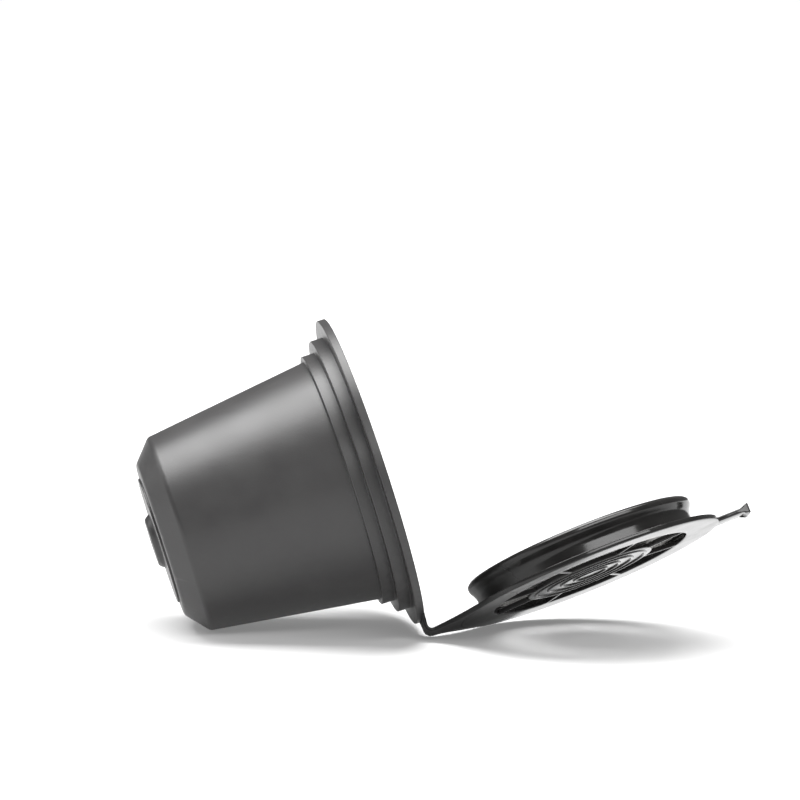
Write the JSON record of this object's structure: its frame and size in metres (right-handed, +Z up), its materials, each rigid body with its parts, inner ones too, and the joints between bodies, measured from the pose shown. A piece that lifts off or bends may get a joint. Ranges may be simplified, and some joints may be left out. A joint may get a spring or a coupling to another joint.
{
  "type": "refillable coffee pod",
  "caption": "Refillable coffee pod: stepped plastic cup with a rim flange, a snap lid on a strap hinge, and a filter disc in each, lying open.",
  "frame": {"origin": "centre of the bounding box's base, on the surface that the open pod rests on", "axes": "+X along the open pod from the cup's bottom to the lid's finger tab, +Z up"},
  "size_m": [0.0714, 0.0374, 0.0363],
  "materials": {
    "cup_plastic": "satin, dark grey moulded polypropylene",
    "lid_plastic": "glossy black moulded polypropylene",
    "filter_steel": "fine woven stainless steel mesh"
  },
  "bodies": {
    "cup": {"cup": "cup_plastic", "cup_filter": "filter_steel"},
    "lid": {"lid": "lid_plastic", "lid_filter": "filter_steel"}
  },
  "joints": [
    {"name": "lid_hinge", "type": "hinge", "parent": "cup", "child": "lid", "pos_m": [-0.00128, -0.00544, 0.00111], "axis": [0, 0.9509, -0.3094], "range_deg": [-87, 93]}
  ]
}
